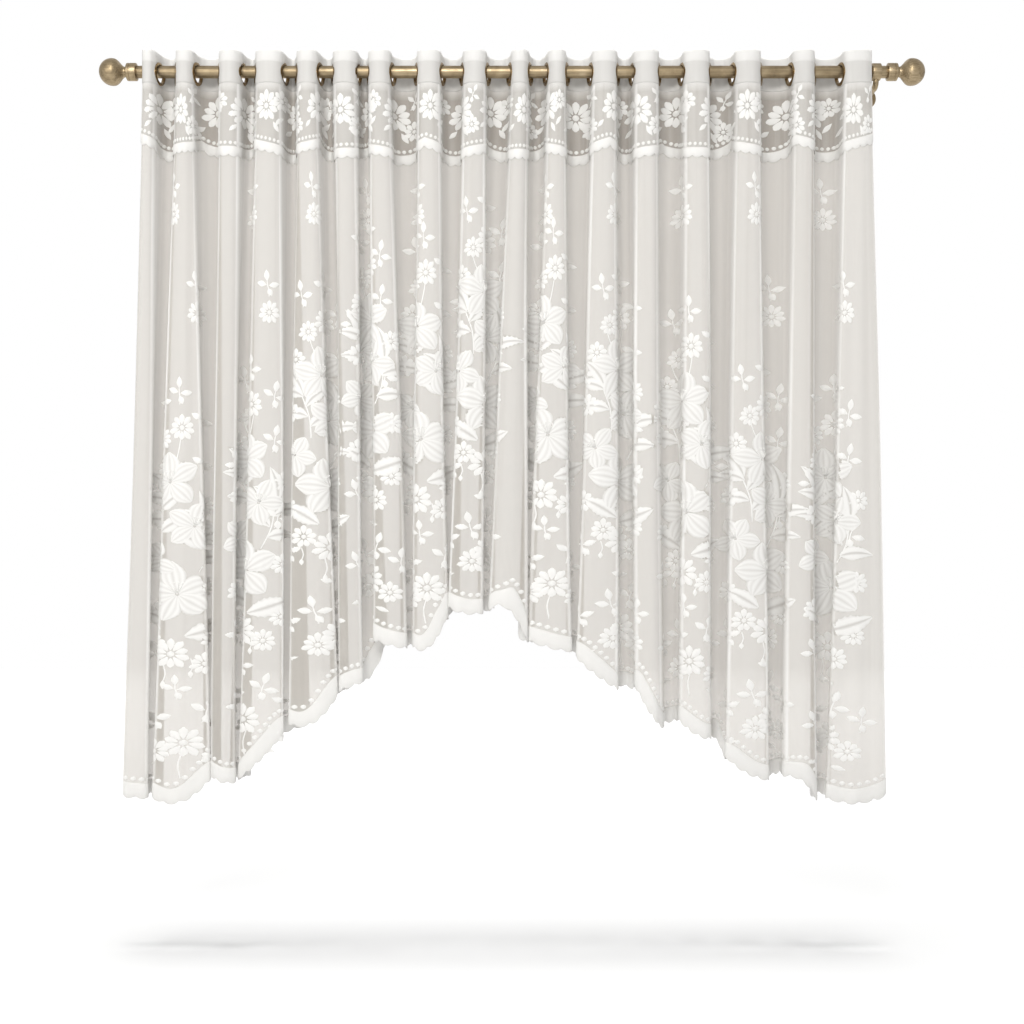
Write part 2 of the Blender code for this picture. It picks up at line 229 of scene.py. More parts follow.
# flat is one (width, height) pair per point: the place on the flat cloth, in metres
def clothMesh(name, points, faces, flat, material, marks=None):
    mesh = bpy.data.meshes.new(name)
    mesh.from_pydata(np.asarray(points).tolist(), [], faces)
    layer = mesh.uv_layers.new(name="flatCloth")
    corner = np.empty(len(mesh.loops), np.int32)
    mesh.loops.foreach_get("vertex_index", corner)
    layer.data.foreach_set("uv", np.asarray(flat, np.float32)[corner].ravel())
    if marks is not None:
        mark = mesh.attributes.new("shade", "FLOAT", "POINT")
        mark.data.foreach_set("value", np.asarray(marks, np.float32))
    mesh.shade_smooth()
    mesh.update()
    return linkMesh(name, mesh, material)


def finishPiece(item, slotName, *nodes):
    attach(item, "root")
    if nodes:
        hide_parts(*nodes)
    return item


# materials
# A shading is a material with short ways to add to it. An input is a number, a colour or the output
# of another node.
class Shading:
    def __init__(self, name, colour, roughness, metallic=0.0):
        self.material = bpy.data.materials.new(name)
        self.material.use_nodes = True
        self.tree = self.material.node_tree
        self.shader, self.output = self.tree.nodes["Principled BSDF"], self.tree.nodes["Material Output"]
        self.feed(self.shader, {"Base Color": colour, "Roughness": roughness, "Metallic": metallic})

    def feed(self, node, inputs):
        for name, value in inputs.items():
            socket = node.inputs[name]
            if isinstance(value, bpy.types.NodeSocket):
                self.tree.links.new(value, socket)
            else:
                socket.default_value = (*value, 1.0) if socket.type == "RGBA" else value

    def add(self, kind, inputs, **settings):
        node = self.tree.nodes.new(kind)
        for name, value in settings.items():
            setattr(node, name, value)
        self.feed(node, inputs)
        return node

    # places on the flat cloth, in metres times the scale
    def flat(self, *scale):
        place = self.add("ShaderNodeUVMap", {}, uv_map="flatCloth").outputs["UV"]
        return self.add("ShaderNodeMapping", {"Vector": place, "Scale": scale}).outputs["Vector"]

    def mark(self, name):
        return self.add("ShaderNodeAttribute", {}, attribute_name=name).outputs["Fac"]

    def noise(self, place, scale, detail, roughness=0.5):
        inputs = {"Vector": place, "Scale": scale, "Detail": detail, "Roughness": roughness}
        return self.add("ShaderNodeTexNoise", inputs).outputs["Fac"]

    def spread(self, value, start, end, low=0.0, high=1.0):
        inputs = {"Value": value, "From Min": start, "From Max": end, "To Min": low, "To Max": high}
        return self.add("ShaderNodeMapRange", inputs).outputs["Result"]

    def calculate(self, operation, first, second):
        inputs = {0: first, 1: second}
        return self.add("ShaderNodeMath", inputs, operation=operation, use_clamp=True).outputs[0]

    def ramp(self, value, *stops):
        node = self.add("ShaderNodeValToRGB", {"Fac": value})
        elements = node.color_ramp.elements
        while len(elements) < len(stops):
            elements.new(0.5)
        for element, (place, colour) in zip(elements, stops):
            element.position = place
            element.color = (*colour, 1.0)
        return node.outputs["Color"]

    def mixColours(self, share, first, second, **settings):
        inputs = {"Factor": share, 6: first, 7: second}
        return self.add("ShaderNodeMix", inputs, data_type="RGBA", **settings).outputs[2]

    def mixShaders(self, share, first, second):
        mixed = self.add("ShaderNodeMixShader", {"Fac": share, 1: first, 2: second}).outputs["Shader"]
        self.feed(self.output, {"Surface": mixed})
        return mixed

    def bump(self, height, strength, distance):
        inputs = {"Height": height, "Strength": strength, "Distance": distance}
        self.feed(self.shader, {"Normal": self.add("ShaderNodeBump", inputs).outputs["Normal"]})

    # part of the light goes through the cloth
    def letThrough(self, colour, share):
        through = self.add("ShaderNodeBsdfTranslucent", {"Color": colour}).outputs["BSDF"]
        return self.mixShaders(share, self.shader.outputs["BSDF"], through)


netLook = {
    "name": "sheerNet",
    "roughness": 0.75,
    "cell": 0.0017,
    "cellHeight": 0.8,
    "threadEdge": 0.10,
    "threadFade": 2.2,
    "holeAlpha": 0.62,
    "threadAlpha": 0.90,
    "gatherAlpha": 0.40,
    # the back folds are painted in shade and the front folds painted lighter, by the front attribute
    "shadedBackColour": (0.49, 0.455, 0.41),
    "litFrontColour": (0.575, 0.548, 0.508),
    # the colour of the painted highlight on the sides of the front folds
    "foldHighlightColour": (0.88, 0.875, 0.86),
    "streak": 0.35,
    "streakScale": (55.0, 0.8, 1.0),
    "throughLight": 0.30,
    "bump": 0.25,
    "bumpDistance": 0.0003,
    "sheen": 0.35,
    "sheenRoughness": 0.4,
}
# the net hangs double behind the valance; its fronts are painted whiter and its backs in deeper painted shade
valanceNetLook = {
    **netLook,
    "name": "valanceNet",
    "shadedBackColour": (0.42, 0.385, 0.345),
    "litFrontColour": (0.62, 0.60, 0.57),
}


def makeNet(look):
    net = Shading(look["name"], look["litFrontColour"], look["roughness"])
    cell, edge = 1 / look["cell"], look["threadEdge"]
    inputs = {"Vector": net.flat(cell, cell * look["cellHeight"], 1.0), "Scale": 1.0, "Randomness": 0.2}
    cells = net.add("ShaderNodeTexVoronoi", inputs, voronoi_dimensions="2D", feature="DISTANCE_TO_EDGE")
    thread = net.spread(
        cells.outputs["Distance"], edge * look["threadFade"], edge, look["holeAlpha"], look["threadAlpha"])
    fold, front = net.mark("shade"), net.mark("front")
    alpha = net.calculate("ADD", thread, net.calculate("MULTIPLY", fold, look["gatherAlpha"]))
    streaks = net.noise(net.flat(*look["streakScale"]), 1.0, 4.0, 0.6)
    streaks = net.spread(streaks, 0.3, 0.7, -look["streak"], look["streak"])
    # painted light and shade: the front folds lighter, the back folds darker, with random streaks
    tone = net.calculate("ADD", front, streaks)
    tone = net.ramp(tone, (0.0, look["shadedBackColour"]), (1.0, look["litFrontColour"]))
    # painted highlight: the sides of the front folds turn whiter
    colour = net.mixColours(fold, tone, look["foldHighlightColour"])
    net.bump(thread, look["bump"], look["bumpDistance"])
    net.feed(net.shader, {
        "Base Color": colour, "Sheen Weight": look["sheen"], "Sheen Roughness": look["sheenRoughness"]})
    clear = net.add("ShaderNodeBsdfTransparent", {}).outputs["BSDF"]
    net.mixShaders(alpha, clear, net.letThrough(colour, look["throughLight"]))
    return net.material


stitchLook = {
    "white": (0.835, 0.828, 0.81),
    # outline is the colour of the painted shadow lines along pad rims and of the stitched veins
    "outline": (0.52, 0.50, 0.472),
    "shadeBetweenThreads": (0.93, 0.93, 0.92),
    "roughness": 0.6,
    "threadPitch": 0.0011,
    "throughLight": 0.12,
    "bump": 0.35,
    "bumpDistance": 0.0003,
}


def makeStitch():
    look = stitchLook
    stitch = Shading("satinStitch", look["white"], look["roughness"])
    pitch = 1 / look["threadPitch"]
    inputs = {"Vector": stitch.flat(pitch, pitch, 1.0), "Scale": 0.5, "Distortion": 1.5, "Detail": 1.0}
    wave = stitch.add("ShaderNodeTexWave", inputs, wave_type="BANDS", bands_direction="DIAGONAL")
    # painted shadow lines along the rims of pads and between petals, and the stitched veins, darken towards
    # the outline colour
    tone = stitch.ramp(stitch.mark("shade"), (0.08, look["white"]), (1.0, look["outline"]))
    # painted shade in the grooves between the satin threads
    threadShade = stitch.ramp(wave.outputs["Fac"], (0.0, look["shadeBetweenThreads"]), (0.5, (1.0, 1.0, 1.0)))
    colour = stitch.mixColours(1.0, tone, threadShade, blend_type="MULTIPLY")
    stitch.feed(stitch.shader, {"Base Color": colour})
    stitch.bump(wave.outputs["Fac"], look["bump"], look["bumpDistance"])
    stitch.letThrough(colour, look["throughLight"])
    return stitch.material


# the band is whiter above the height of its turned-in edge
headingLook = {
    "top": (0.82, 0.812, 0.795),
    "below": (0.68, 0.668, 0.645),
    "roughness": 0.7,
    "turnStarts": 0.012,
    "turnEnds": 0.016,
    "weave": 0.0009,
    "streak": 0.5,
    "streakScale": (70.0, 6.0, 1.0),
    "throughLight": 0.3,
    "bump": 0.3,
    "bumpDistance": 0.0002,
}


def makeHeadingCloth():
    look = headingLook
    band = Shading("headingCloth", look["top"], look["roughness"])
    pitch = 1 / look["weave"]
    weave = band.add("ShaderNodeTexChecker", {"Vector": band.flat(pitch, pitch, 1.0), "Scale": 1.0})
    height = band.add("ShaderNodeSeparateXYZ", {"Vector": band.flat(1.0, 1.0, 1.0)}).outputs["Y"]
    above = band.spread(height, look["turnStarts"], look["turnEnds"])
    streaks = band.noise(band.flat(*look["streakScale"]), 1.0, 3.0)
    amount = band.calculate("ADD", above, band.calculate("MULTIPLY", streaks, look["streak"]))
    tone = band.ramp(amount, (0.1, look["below"]), (1.0, look["top"]))
    band.feed(band.shader, {"Base Color": tone})
    band.bump(weave.outputs["Fac"], look["bump"], look["bumpDistance"])
    band.letThrough(tone, look["throughLight"])
    return band.material


brassLook = {
    "name": "antiqueBrass",
    "dark": (0.185, 0.142, 0.088),
    "mid": (0.36, 0.28, 0.172),
    "light": (0.52, 0.42, 0.285),
    "roughness": 0.42,
    "brush": (6.0, 420.0, 420.0),
    "patina": 38.0,
    "patinaShare": 0.45,
    "bump": 0.12,
    "bumpDistance": 0.0002,
}
bronzeLook = {
    **brassLook,
    "name": "eyeletBronze",
    "dark": (0.13, 0.085, 0.04),
    "mid": (0.26, 0.18, 0.09),
    "light": (0.42, 0.31, 0.17),
    "roughness": 0.28,
    "brush": (200.0, 200.0, 200.0),
}


def makeMetal(look):
    metal = Shading(look["name"], look["mid"], look["roughness"], 1.0)
    place = metal.add("ShaderNodeTexCoord", {}).outputs["Object"]
    lines = metal.add("ShaderNodeMapping", {"Vector": place, "Scale": look["brush"]}).outputs["Vector"]
    brushed = metal.noise(lines, 1.0, 4.0, 0.65)
    patina = metal.noise(place, look["patina"], 5.0, 0.6)
    both = metal.add("ShaderNodeMix", {"Factor": look["patinaShare"], 2: brushed, 3: patina}).outputs[0]
    tone = metal.ramp(both, (0.34, look["dark"]), (0.5, look["mid"]), (0.68, look["light"]))
    rough = metal.spread(patina, 0.3, 0.7, look["roughness"] + 0.10, look["roughness"] - 0.06)
    metal.feed(metal.shader, {"Base Color": tone, "Roughness": rough})
    metal.bump(brushed, look["bump"], look["bumpDistance"])
    return metal.material


netMaterial = makeNet(netLook)
valanceMaterial = makeNet(valanceNetLook)
stitchMaterial = makeStitch()
headingMaterial = makeHeadingCloth()
brassMaterial = makeMetal(brassLook)
bronzeMaterial = makeMetal(bronzeLook)
print("materials made")

# sheer sheets
panel = {"rows": 30, "lift": -cloth["plyShift"], "scallop": 0.006, "border": 0.027, "dotRow": 0.0345,
         "dotPitch": 0.0127, "dotRadius": 0.0044}
valance = {"rows": 9, "lift": cloth["plyShift"], "scallop": 0.005, "border": 0.0165, "dotRow": 0.0232,
           "dotPitch": 0.0118, "dotRadius": 0.0038, "cusp": -0.148, "lobe": 0.024, "bow": 0.010, "lobes": 12}

fineRun = runFrom(stepLengths(planAt(fineShare, 0.0)))
fineRun /= fineRun[-1]
valanceLine = (valance["cusp"] - valance["lobe"] * np.abs(np.sin(math.pi * valance["lobes"] * fineRun)) ** 0.8
               - valance["bow"] * np.sin(math.pi * fineRun))
panelLine = fineHem


# how much a step along the edge is longer than the same step along the width
def edgeStretch(line):
    slope = evenedOut(np.gradient(line, fineShare * cloth["flatWidth"]), 7)
    return np.sqrt(1 + np.clip(slope, -1.6, 1.6) ** 2)


def edgeRun(line):
    return runFrom(np.diff(fineShare) * cloth["flatWidth"] * edgeStretch(line)[:-1])


def scalloped(line, depth):
    run = edgeRun(line)
    turns = math.pi * round(run[-1] / cloth["scallopWidth"]) * run / run[-1]
    return line - depth * np.minimum(edgeStretch(line), 1.25) * np.abs(np.sin(turns)) ** 0.75


# one face between each four neighbours in a grid of numbers, with its corners in the order given
def gridFaces(grid, order):
    corners = np.stack([grid[:-1, :-1], grid[:-1, 1:], grid[1:, 1:], grid[1:, :-1]], axis=-1)
    return corners.reshape(-1, 4)[:, list(order)].tolist()


# the points of a whole sheet, from its rows of heights, and their places on the flat cloth
def sheetPoints(heights, lift):
    across = np.broadcast_to(fineShare, heights.shape)
    flat = np.stack([across * cloth["flatWidth"], heights], axis=-1)
    return clothPoints(across, heights, lift).reshape(-1, 3), flat.reshape(-1, 2)


def sheetFaces(rows):
    return gridFaces(np.arange(rows * len(fineShare)).reshape(rows, -1), (0, 3, 2, 1))


# the sides of each front fold, where the cloth turns back, are drawn more opaque and with a painted
# highlight that makes them whiter; lineWidth is the reach of that on the front, fade its share of the way
# back
foldHighlightAndTurnMarks = {"lineWidth": 0.0025, "fade": 0.35, "rest": 0.10, "uneven": 0.55,
             "turnUnder": 0.8, "turnHeight": -0.046, "turnFade": 0.02}


def foldHighlightColumns():
    fronts = np.array([1.0 if order == int(order) else 0.0 for order in columnOrder])
    marks = np.zeros(len(fineShare))
    for column in range(-1, len(columnOrder)):
        here, after = max(column, 0), min(column + 1, len(columnOrder) - 1)
        if here != after and columnOrder[here] == columnOrder[after]:
            continue
        front, back = (here, after) if fronts[here] else (after, here)
        side = 1 if after == back and column >= 0 else -1
        away = (fineShare - columnShare[front]) * cloth["flatWidth"] * side
        wall = abs(columnShare[back] - columnShare[front]) * cloth["flatWidth"]
        line = np.exp(-(np.minimum(away, 0) / foldHighlightAndTurnMarks["lineWidth"]) ** 2)
        if wall > 0:
            faded = np.clip(1 - away / (foldHighlightAndTurnMarks["fade"] * wall), foldHighlightAndTurnMarks["rest"], 1)
            line = np.where(away > 0, np.where(away < wall, faded, 0), line)
        marks = np.maximum(marks, line)
    return marks, fronts


foldHighlightMark, coarseFronts = foldHighlightColumns()
# painted light and shade on the net: 1 on the front folds, 0 on the back folds
paintedFrontLight = np.interp(fineShare, columnShare, coarseFronts)


def netSheet(name, node, line, look, material):
    edge = scalloped(line, look["scallop"]) + cloth["netInset"]
    start = cloth["headingBottom"] - cloth["netGap"]
    heights = start + (edge[None, :] - start) * np.linspace(0, 1, look["rows"])[:, None]
    points, flat = sheetPoints(heights, look["lift"])
    near = np.clip((heights - foldHighlightAndTurnMarks["turnHeight"]) / foldHighlightAndTurnMarks["turnFade"], 0, 1)
    # the painted highlight lines at the folds come and go along the cloth and on the way down
    waver = np.sin(fineShare * 61 + heights * 3.1) * np.sin(fineShare * 23 - heights * 5.3 + 1)
    marks = foldHighlightMark * (1 - foldHighlightAndTurnMarks["uneven"] * (0.5 + 0.5 * waver))
    marks = np.maximum(marks, near * foldHighlightAndTurnMarks["turnUnder"])
    sheet = clothMesh(name, points, sheetFaces(look["rows"]), flat, material, marks.ravel())
    # the front folds painted lighter and the back folds painted in shade
    front = sheet.data.attributes.new("front", "FLOAT", "POINT")
    front.data.foreach_set("value", np.broadcast_to(paintedFrontLight, heights.shape).astype(np.float32).ravel())
    return finishPiece(sheet, "lace", node)


panelNet = netSheet("panelNet", "lace_panel", panelLine, panel, netMaterial)
valanceNet = netSheet("valanceNet", "lace_valance", valanceLine, valance, valanceMaterial)
print("net sheets hung")

# embroidery
# Stitched shapes are drawn on the flat cloth and then laid on it as it hangs: each is a small pad,
# raised in front of and behind the net, with its edge on it.
design = {"overhang": 0.003, "margin": 0.001, "leastFacing": 0.45, "panelDrop": 0.6, "valanceDrop": 0.05}


# none along the edge of a pad, and the same inside it
def padLift(shape, pad):
    lift = np.zeros(shape)
    lift[1:-1, 1:-1] = pad
    return lift


# the design is drawn wider where the folds turn away, so that it still reads from the front
def designRun(drop, leastFacing):
    plan = planAt(fineShare, drop)
    facing = evenedOut(np.abs(np.diff(plan[:, 0])) / stepLengths(plan), 4)
    return runFrom(np.clip(facing, leastFacing, 1.0)) * cloth["flatWidth"] / cloth["fineColumns"]


class Embroidery:
    def __init__(self, baseLift, drop=0.0, leastFacing=1.0):
        self.baseLift = baseLift
        self.run = designRun(drop, leastFacing)
        self.share, self.height, self.lift, self.mark, self.faces = [], [], [], [], []

    # u and height are grids of places on the flat cloth, lift is how far each point stands off it
    def addPad(self, u, height, lift, mark, base=0.0):
        start = sum(len(part) for part in self.share)
        inner = np.zeros(u.shape, bool)
        inner[1:-1, 1:-1] = True
        for side, chosen in ((1, np.ones(u.shape, bool)), (-1, inner)):
            self.share.append(u[chosen] / cloth["flatWidth"])
            self.height.append(height[chosen])
            self.lift.append(base + side * lift[chosen])
            self.mark.append(mark[chosen])
        front = start + np.arange(u.size).reshape(u.shape)
        back = front.copy()
        back[inner] = start + u.size + np.arange(inner.sum())
        self.faces += gridFaces(front, (0, 1, 2, 3)) + gridFaces(back, (3, 2, 1, 0))

    # a leaf, petal or stem: a middle line with half widths, x across and y up, in metres
    # the marks across the blade darken it: painted shadow along its rims, stitched veins inside
    def addBlade(self, place, line, widths, veinsAndRimShade, pad=0.0005, base=0.0):
        line, widths = np.asarray(line, float), np.asarray(widths, float)
        along = np.gradient(line, axis=0)
        along /= np.linalg.norm(along, axis=1)[:, None]
        side = np.stack([along[:, 1], -along[:, 0]], axis=1)
        cross = np.linspace(-1, 1, len(veinsAndRimShade))
        local = line[:, None, :] + side[:, None, :] * (widths[:, None] * cross[None, :])[..., None]
        u0, v0, turn, size = place
        cos, sin = math.cos(turn) * size, math.sin(turn) * size
        start = np.interp(u0 / cloth["flatWidth"], fineShare, self.run)
        across = start + local[..., 0] * cos - local[..., 1] * sin
        if across.min() < -design["overhang"] or across.max() > self.run[-1] + design["overhang"]:
            return  # past the side of the cloth
        u = np.interp(across, self.run, fineShare) * cloth["flatWidth"]
        u = np.clip(u, design["margin"], cloth["flatWidth"] - design["margin"])
        height = v0 + local[..., 0] * sin + local[..., 1] * cos
        self.addPad(u, height, padLift(u.shape, pad), np.broadcast_to(veinsAndRimShade, u.shape), base)

    def finish(self, name, slotName="lace"):
        share, height = np.concatenate(self.share), np.concatenate(self.height)
        points = clothPoints(share, height, np.concatenate(self.lift) + self.baseLift)
        flat = np.stack([share * cloth["flatWidth"], height], axis=-1)
        piece = clothMesh(name, points, self.faces, flat, stitchMaterial, np.concatenate(self.mark))
        smoothByAngle(piece, 70)
        print(name, len(self.faces), "faces")
        return finishPiece(piece, slotName)


def turned(place, x, y, turn=0.0, size=1.0):
    u, height, first, scale = place
    return (u + (x * math.cos(first) - y * math.sin(first)) * scale,
            height + (x * math.sin(first) + y * math.cos(first)) * scale, first + turn, scale * size)


petalWidths = (0.18, 0.55, 0.85, 1.0, 0.88, 0.25)
leafWidths = (0.06, 0.55, 0.95, 0.92, 0.6, 0.05)


def addPetal(work, place, start, end, halfWidth, widths=petalWidths):
    line = np.stack([np.zeros(len(widths)), np.linspace(start, end, len(widths))], axis=1)
    work.addBlade(place, line, np.array(widths) * halfWidth, [0.3, 0.0, 0.0, 0.0, 0.3])


def addSmallLeaf(work, place, length, halfWidth):
    addPetal(work, place, 0.0, length, halfWidth, leafWidths)


def addStem(work, place, points, halfWidth=0.0011, pad=0.0004):
    points = np.asarray(points, float)
    t = np.linspace(0, len(points) - 1, 4 * len(points) - 3)
    line = np.stack([np.interp(t, range(len(points)), points[:, axis]) for axis in (0, 1)], axis=1)
    for _ in range(2):
        line[1:-1] = (line[:-2] + 2 * line[1:-1] + line[2:]) / 4
    work.addBlade(place, line, np.full(len(line), halfWidth), [0.2, 0.0, 0.2], pad)


def addDot(work, place, radius, pad=0.0009):
    angle = np.linspace(-math.pi / 2 + 0.25, math.pi / 2 - 0.25, 5)
    line = np.stack([np.zeros(5), np.sin(angle) * radius], axis=1)
    work.addBlade(place, line, np.cos(angle) * radius, [0.35, 0.0, 0.35], pad)


daisy = {"petals": 10, "petalWidth": 0.205, "petalStart": 0.25, "middle": 0.19}


def addDaisy(work, place, radius, petals=daisy["petals"]):
    for index in range(petals):
        reach = radius * (1.0 - 0.07 * (index % 3))
        addPetal(work, turned(place, 0, 0, 2 * math.pi * index / petals), radius * daisy["petalStart"],
                 reach, radius * daisy["petalWidth"] * 10 / petals)
    addDot(work, place, radius * daisy["middle"], pad=0.0011)


sprig = {"leafLength": 0.48, "leafWidth": 0.125,
         "leaves": ((0, 0.16, 0, 1.0), (-0.03, 0.04, 1.25, 0.95), (0.04, 0.0, -1.5, 1.0),
                    (0, -0.08, -2.7, 0.75))}


# four pointed leaves on a short stalk
def addSprig(work, place, size):
    long, wide = sprig["leafLength"] * size, sprig["leafWidth"] * size
    for x, y, turn, share in sprig["leaves"]:
        addPetal(work, turned(place, x * size, y * size, turn), 0.02 * size, long * share, wide, leafWidths)
    addStem(work, place, [(0, 0.2 * size), (0, 0.0), (0.05 * size, -0.2 * size), (0.02 * size, -0.42 * size)])


# a long leaf that bends to one side, with a vein
def addLeaf(work, place, length, halfWidth, bend):
    t = np.linspace(0, 1, 10)
    line = np.stack([np.sin(t * bend) * length * 0.5 * t, t * length * (1 - 0.15 * abs(bend) * t)], axis=1)
    widths = halfWidth * np.array((0.1, 0.45, 0.8, 0.98, 1.0, 0.92, 0.76, 0.54, 0.3, 0.05))
    work.addBlade(place, line, widths, [0.45, 0.05, 0.0, 0.9, 0.0, 0.05, 0.45])


# a short broad leaf with a toothed edge
def addBroadLeaf(work, place, length, halfWidth):
    t = np.linspace(0, 1, 16)
    line = np.stack([0.06 * length * np.sin(2 * t), t * length], axis=1)
    widths = halfWidth * np.sin(math.pi * np.clip(t, 0.02, 0.985)) ** 0.75 * (1 - 0.25 * t)
    widths[2:-2:2] *= 0.88
    work.addBlade(place, line, widths, [0.5, 0.05, 0.0, 0.85, 0.0, 0.05, 0.5])


lily = {"petals": 5, "petalWidth": 0.36, "stamens": 5,
        "widths": (0.15, 0.45, 0.72, 0.92, 1.0, 0.98, 0.84, 0.55, 0.12),
        "veinsAndRimShade": (0.7, 0.0, 0.4, 0.0, 0.55, 0.0, 0.4, 0.0, 0.7)}


def addLily(work, place, radius, chance):
    for index in range(lily["petals"]):
        turn = 2 * math.pi * index / lily["petals"] + chance.uniform(-0.12, 0.12)
        steps = np.linspace(0.05 * radius, radius * chance.uniform(0.88, 1.05), 9)
        bend = np.sin(np.linspace(0, 2.4, 9)) * radius * chance.uniform(-0.08, 0.08)
        widths = radius * lily["petalWidth"] * np.array(lily["widths"])
        work.addBlade(turned(place, 0, 0, turn), np.stack([bend, steps], axis=1), widths, lily["veinsAndRimShade"],
                      0.0006, 0.0003 * (index % 2))
    for index in range(lily["stamens"]):
        spot = turned(place, 0, 0, -0.6 + 0.3 * index)
        stalk = [(0, 0.02 * radius), (0.01 * radius, 0.18 * radius), (0, 0.34 * radius)]
        addStem(work, spot, stalk, 0.0008, 0.0016)
        addDot(work, turned(spot, 0, 0.36 * radius), 0.0024, 0.0018)


frond = {"leafWidth": 0.105, "bend": 0.8,
         "leaves": ((0.18, -0.9, 0.50), (0.34, 0.85, 0.55), (0.5, -0.75, 0.60), (0.66, 0.7, 0.50),
                    (0.72, 0.05, 0.62))}


# a stem with long leaves on both sides and one at its tip
def addFrond(work, place, length, chance):
    addStem(work, place, [(0, 0), (0.06 * length, 0.35 * length), (0.0, 0.72 * length)], 0.0014)
    for y, turn, size in frond["leaves"]:
        reach = size * length * chance.uniform(0.85, 1.0)
        bend = -frond["bend"] if turn > 0 else frond["bend"]
        spot = turned(place, 0.03 * length, y * length, turn)
        addLeaf(work, spot, reach, frond["leafWidth"] * length, bend)


def addHangingBud(work, place, length):
    addStem(work, place, [(0, 0), (0.004, -0.4 * length), (0.0, -0.72 * length)])
    addSmallLeaf(work, turned(place, 0, -length), 0.36 * length, 0.0042)


# a solid band and a row of round dots follow a scalloped edge
def addBorder(work, line, look):
    edge = scalloped(line, look["scallop"])
    inner = line + look["border"] * edgeStretch(line)
    shares = np.array((0.0, 0.08, 0.4, 0.75, 0.95, 1.0))[:, None]
    heights = edge[None, :] * (1 - shares) + inner[None, :] * shares
    # painted shadow along the scalloped edge and a dark painted shadow line along the inner edge; the band
    # between is a little greyer
    mark = np.broadcast_to(np.array((0.55, 0.28, 0.2, 0.2, 0.3, 1.0))[:, None], heights.shape)
    u = np.broadcast_to(fineShare * cloth["flatWidth"], heights.shape)
    work.addPad(u, heights, padLift(heights.shape, 0.0007), mark)


def addDotRow(work, line, look):
    run, rowHeights = edgeRun(line), line + look["dotRow"] * edgeStretch(line)
    count = int(run[-1] / look["dotPitch"])
    for place in (np.arange(count) + 0.5) * run[-1] / count:
        share = float(np.interp(place, run, fineShare))
        height = float(np.interp(share, fineShare, rowHeights))
        addDot(work, (share * cloth["flatWidth"], height, 0.0, 1.0), look["dotRadius"])


chance = np.random.default_rng(12)
# where the repeats of the design stand, as shares of the cloth's width
repeatPlaces = (0.060, 0.172, 0.268, 0.350, 0.428, 0.508, 0.611, 0.695, 0.785, 0.868, 0.955)
# heights of the groups over the hem, and of the rows over the bouquets
repeatHeights = {"group": 0.100, "bouquet": 0.230, "top": 0.850, "rows": (-0.285, -0.485, -0.685)}

# the group of flowers just above the border: x, y and size of each flower, with the turn of each sprig
hemGroup = {
    "daisies": ((0.020, 0.020, 0.032, 10), (-0.026, 0.002, 0.026, 10), (0.078, -0.008, 0.023, 9)),
    "sprigs": ((-0.030, 0.068, 0.2, 0.056), (0.052, 0.082, -0.3, 0.054), (-0.085, 0.045, 0.35, 0.052),
               (0.098, 0.052, -0.1, 0.050), (0.008, 0.128, 0.05, 0.048)),
    "stalk": ((0.018, 0.0), (0.012, -0.025), (0.016, -0.052)),
    "leaves": ((-0.055, -0.022, 1.9, 0.028, 0.0052), (0.050, -0.036, -2.0, 0.026, 0.0050)),
}


def addHemGroup(work, place):
    for x, y, radius, petals in hemGroup["daisies"]:
        addDaisy(work, turned(place, x, y), radius, petals)
    for x, y, turn, size in hemGroup["sprigs"]:
        addSprig(work, turned(place, x, y, turn), size)
    addStem(work, place, hemGroup["stalk"])
    for x, y, turn, length, halfWidth in hemGroup["leaves"]:
        addSmallLeaf(work, turned(place, x, y, turn), length, halfWidth)


bouquet = {
    "buds": ((-0.012, 0.050, 0.052), (0.030, 0.062, 0.040), (-0.050, 0.070, 0.036)),
    "daisies": ((0.0, 0.070, 0.032), (-0.046, 0.092, 0.024), (0.052, 0.050, 0.024), (0.084, 0.098, 0.022),
                (-0.086, 0.150, 0.024), (0.088, 0.205, 0.023), (-0.078, 0.345, 0.024), (0.090, 0.372, 0.022),
                (-0.062, 0.452, 0.023), (0.018, 0.530, 0.028), (-0.034, 0.508, 0.023)),
    "sprigs": ((-0.086, 0.060, 0.3), (0.076, 0.300, -0.3), (0.070, 0.455, -0.2), (-0.094, 0.405, 0.3),
               (0.070, 0.545, -0.2), (-0.050, 0.580, 0.15), (0.012, 0.600, 0.0)),
    "sprigSize": 0.054,
    "broadLeaves": ((0.022, 0.106, -1.15, 0.082, 0.023), (-0.020, 0.118, 1.05, 0.068, 0.020)),
    "stalks": (((0.004, 0.450), (0.012, 0.485), (0.016, 0.510)),
               ((-0.010, 0.450), (-0.024, 0.478), (-0.030, 0.500))),
}


def addBouquet(flowers, lilies, leaves, place):
    for x, y, length in bouquet["buds"]:
        addHangingBud(leaves, turned(place, x, y), length)
    for x, y, radius in bouquet["daisies"]:
        addDaisy(flowers, turned(place, x, y), radius, 9 if x < -0.04 else daisy["petals"])
    for x, y, turn in bouquet["sprigs"]:
        addSprig(flowers, turned(place, x, y, turn), bouquet["sprigSize"])
    for x, y, turn, length, halfWidth in bouquet["broadLeaves"]:
        addBroadLeaf(leaves, turned(place, x, y, turn), length, halfWidth)
    addLily(lilies, turned(place, 0.010, 0.192, 0.2), 0.066, chance)
    addLily(lilies, turned(place, -0.062, 0.258, 0.7), 0.046, chance)
    addFrond(leaves, turned(place, 0.046, 0.236, -0.25), 0.140, chance)
    addFrond(leaves, turned(place, -0.030, 0.292, 0.22), 0.130, chance)
    addLily(lilies, turned(place, 0.040, 0.330, -0.3), 0.052, chance)
    addLily(lilies, turned(place, -0.006, 0.420, 0.1), 0.060, chance)
    for stalk in bouquet["stalks"]:
        addStem(leaves, place, stalk)


def addTopGroup(work, place):
    addSprig(work, turned(place, 0, 0.042, 0.1), 0.052)
    addDaisy(work, turned(place, 0.004, -0.012), 0.025)


